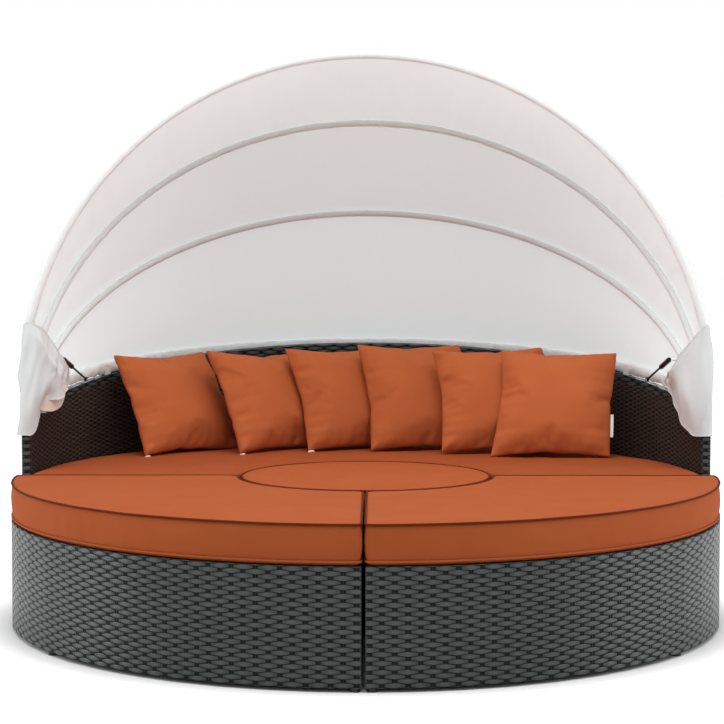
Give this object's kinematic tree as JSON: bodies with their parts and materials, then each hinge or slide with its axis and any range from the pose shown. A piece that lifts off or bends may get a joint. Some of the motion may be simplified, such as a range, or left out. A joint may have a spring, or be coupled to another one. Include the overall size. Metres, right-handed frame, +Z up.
{
  "type": "outdoor daybed with canopy",
  "caption": "Round woven daybed in sections with a backrest, a round centre ottoman, piped seat cushions, throw pillows and a cloth canopy on folding bows.",
  "frame": {"origin": "on the floor, in the middle of the daybed's box", "axes": "+Z up from the floor, +Y from the front seats towards the backrest, +X towards the right front seat as seen from the front"},
  "size_m": [2.3114, 2.3594, 1.8643],
  "materials": {
    "wicker": "woven flat resin strands, charcoal grey",
    "dark_wicker": "woven flat resin strands, dark brown",
    "frame": "dark powder coat",
    "glide": "plain black",
    "cushion": "terracotta orange woven outdoor cloth",
    "canopy_cloth": "pale warm grey coated cloth",
    "bow": "light powder coat",
    "strut": "gloss black"
  },
  "bodies": {
    "back_unit": {"back_wicker_skin": "wicker", "back_seat_deck": "dark_wicker", "back_base_frame": "frame", "back_foot_1": "glide", "back_foot_2": "glide", "back_foot_3": "glide", "back_foot_4": "glide", "backrest_outer_skin": "wicker", "backrest_inner_skin": "dark_wicker", "backrest_rim": "wicker", "backrest_frame": "frame", "canopy_hub_right": "frame", "canopy_hub_left": "frame", "pivot_pin_right": "frame", "pivot_pin_left": "frame", "rear_bow": "bow", "rear_bow_bracket_right": "frame", "rear_bow_bracket_left": "frame", "canopy_flap_right": "canopy_cloth", "canopy_flap_left": "canopy_cloth"},
    "lower_bow_unit": {"lower_bow": "bow", "canopy_back_panel": "canopy_cloth"},
    "upper_bow_unit": {"upper_bow": "bow", "canopy_middle_panel": "canopy_cloth"},
    "front_bow_unit": {"front_bow": "bow", "canopy_front_panel": "canopy_cloth"},
    "strut_rod_right_unit": {"strut_rod_right": "strut"},
    "strut_rod_left_unit": {"strut_rod_left": "strut"},
    "strut_tube_right_unit": {"strut_tube_right": "strut"},
    "strut_tube_left_unit": {"strut_tube_left": "strut"},
    "front_right_unit": {"front_right_wicker_skin": "wicker", "front_right_seat_deck": "dark_wicker", "front_right_base_frame": "frame", "front_right_foot_1": "glide", "front_right_foot_2": "glide", "front_right_foot_3": "glide", "front_right_foot_4": "glide"},
    "front_left_unit": {"front_left_wicker_skin": "wicker", "front_left_seat_deck": "dark_wicker", "front_left_base_frame": "frame", "front_left_foot_1": "glide", "front_left_foot_2": "glide", "front_left_foot_3": "glide", "front_left_foot_4": "glide"},
    "centre_unit": {"centre_wicker_skin": "wicker", "centre_seat_deck": "dark_wicker", "centre_base_frame": "frame", "centre_foot_1": "glide", "centre_foot_2": "glide", "centre_foot_3": "glide"},
    "front_right_cushion_unit": {"front_right_cushion": "cushion"},
    "front_left_cushion_unit": {"front_left_cushion": "cushion"},
    "back_cushion_unit": {"back_cushion": "cushion"},
    "centre_cushion_unit": {"centre_cushion": "cushion"},
    "pillow_1": {"throw_pillow_1": "cushion"},
    "pillow_2": {"throw_pillow_2": "cushion"},
    "pillow_3": {"throw_pillow_3": "cushion"},
    "pillow_4": {"throw_pillow_4": "cushion"},
    "pillow_5": {"throw_pillow_5": "cushion"},
    "pillow_6": {"throw_pillow_6": "cushion"}
  },
  "joints": [
    {"name": "lower_bow_fold", "type": "hinge", "parent": "back_unit", "child": "lower_bow_unit", "pos_m": [0, 0.09897, 0.71428], "axis": [-1, 0, 0], "range_deg": [0, 22.9], "deforming": ["canopy_back_panel", "canopy_flap_right", "canopy_flap_left"]},
    {"name": "upper_bow_fold", "type": "hinge", "parent": "lower_bow_unit", "child": "upper_bow_unit", "pos_m": [0, 0.09897, 0.71428], "axis": [-1, 0, 0], "range_deg": [0, 20.8], "deforming": ["canopy_middle_panel"]},
    {"name": "front_bow_fold", "type": "hinge", "parent": "upper_bow_unit", "child": "front_bow_unit", "pos_m": [0, 0.09897, 0.71428], "axis": [-1, 0, 0], "range_deg": [0, 24.4], "deforming": ["canopy_front_panel"]},
    {"name": "strut_rod_right_swing", "type": "hinge", "parent": "back_unit", "child": "strut_rod_right_unit", "pos_m": [0.98786, 0.46797, 0.74202], "axis": [0.9607, 0.256, 0.1073], "range_deg": [0, 17.9]},
    {"name": "strut_rod_left_swing", "type": "hinge", "parent": "back_unit", "child": "strut_rod_left_unit", "pos_m": [-0.98786, 0.46797, 0.74202], "axis": [0.9607, -0.256, -0.1073], "range_deg": [0, 17.9]},
    {"name": "strut_tube_right_slide", "type": "slide", "parent": "strut_rod_right_unit", "child": "strut_tube_right_unit", "axis": [0.2026, -0.911, 0.3591], "range_m": [-0.04402, 0]},
    {"name": "strut_tube_left_slide", "type": "slide", "parent": "strut_rod_left_unit", "child": "strut_tube_left_unit", "axis": [-0.2026, -0.911, 0.3591], "range_m": [-0.04402, 0]},
    {"name": "front_right_unit_slide", "type": "slide", "parent": "back_unit", "child": "front_right_unit", "axis": [0, -1, 0], "range_m": [0, 0.4]},
    {"name": "front_left_unit_slide", "type": "slide", "parent": "back_unit", "child": "front_left_unit", "axis": [0, -1, 0], "range_m": [0, 0.4]},
    {"name": "centre_unit_lift", "type": "slide", "parent": "back_unit", "child": "centre_unit", "axis": [0, 0, 1], "range_m": [0, 0.45]},
    {"name": "front_right_cushion_lift", "type": "slide", "parent": "front_right_unit", "child": "front_right_cushion_unit", "axis": [0, 0, 1], "range_m": [0, 0.25]},
    {"name": "front_left_cushion_lift", "type": "slide", "parent": "front_left_unit", "child": "front_left_cushion_unit", "axis": [0, 0, 1], "range_m": [0, 0.25]},
    {"name": "back_cushion_lift", "type": "slide", "parent": "back_unit", "child": "back_cushion_unit", "axis": [0, 0, 1], "range_m": [0, 0.12]},
    {"name": "centre_cushion_lift", "type": "slide", "parent": "centre_unit", "child": "centre_cushion_unit", "axis": [0, 0, 1], "range_m": [0, 0.25]},
    {"name": "pillow_1_slide", "type": "slide", "parent": "back_cushion_unit", "child": "pillow_1", "axis": [-0.321, 0.321, 0.891], "range_m": [0, 0.1]},
    {"name": "pillow_2_slide", "type": "slide", "parent": "back_cushion_unit", "child": "pillow_2", "axis": [-0.321, 0.321, 0.891], "range_m": [0, 0.1]},
    {"name": "pillow_3_slide", "type": "slide", "parent": "back_cushion_unit", "child": "pillow_3", "axis": [-0.227, 0.3932, 0.891], "range_m": [0, 0.1]},
    {"name": "pillow_4_slide", "type": "slide", "parent": "back_cushion_unit", "child": "pillow_4", "axis": [-0.1251, 0.4364, 0.891], "range_m": [0, 0.1]},
    {"name": "pillow_5_slide", "type": "slide", "parent": "back_cushion_unit", "child": "pillow_5", "axis": [-0.0788, 0.4471, 0.891], "range_m": [0, 0.1]},
    {"name": "pillow_6_slide", "type": "slide", "parent": "back_cushion_unit", "child": "pillow_6", "axis": [0.0632, 0.4496, 0.891], "range_m": [0, 0.1]}
  ],
  "couplings": [
    {"joint": "upper_bow_fold", "follows": "lower_bow_fold", "ratio": 0.90829},
    {"joint": "front_bow_fold", "follows": "lower_bow_fold", "ratio": 1.0655},
    {"joint": "strut_rod_right_swing", "follows": "lower_bow_fold", "ratio": 0.7812},
    {"joint": "strut_rod_left_swing", "follows": "lower_bow_fold", "ratio": 0.7812},
    {"joint": "strut_tube_right_slide", "follows": "lower_bow_fold", "m_per_rad": -0.11013},
    {"joint": "strut_tube_left_slide", "follows": "lower_bow_fold", "m_per_rad": -0.11013}
  ]
}
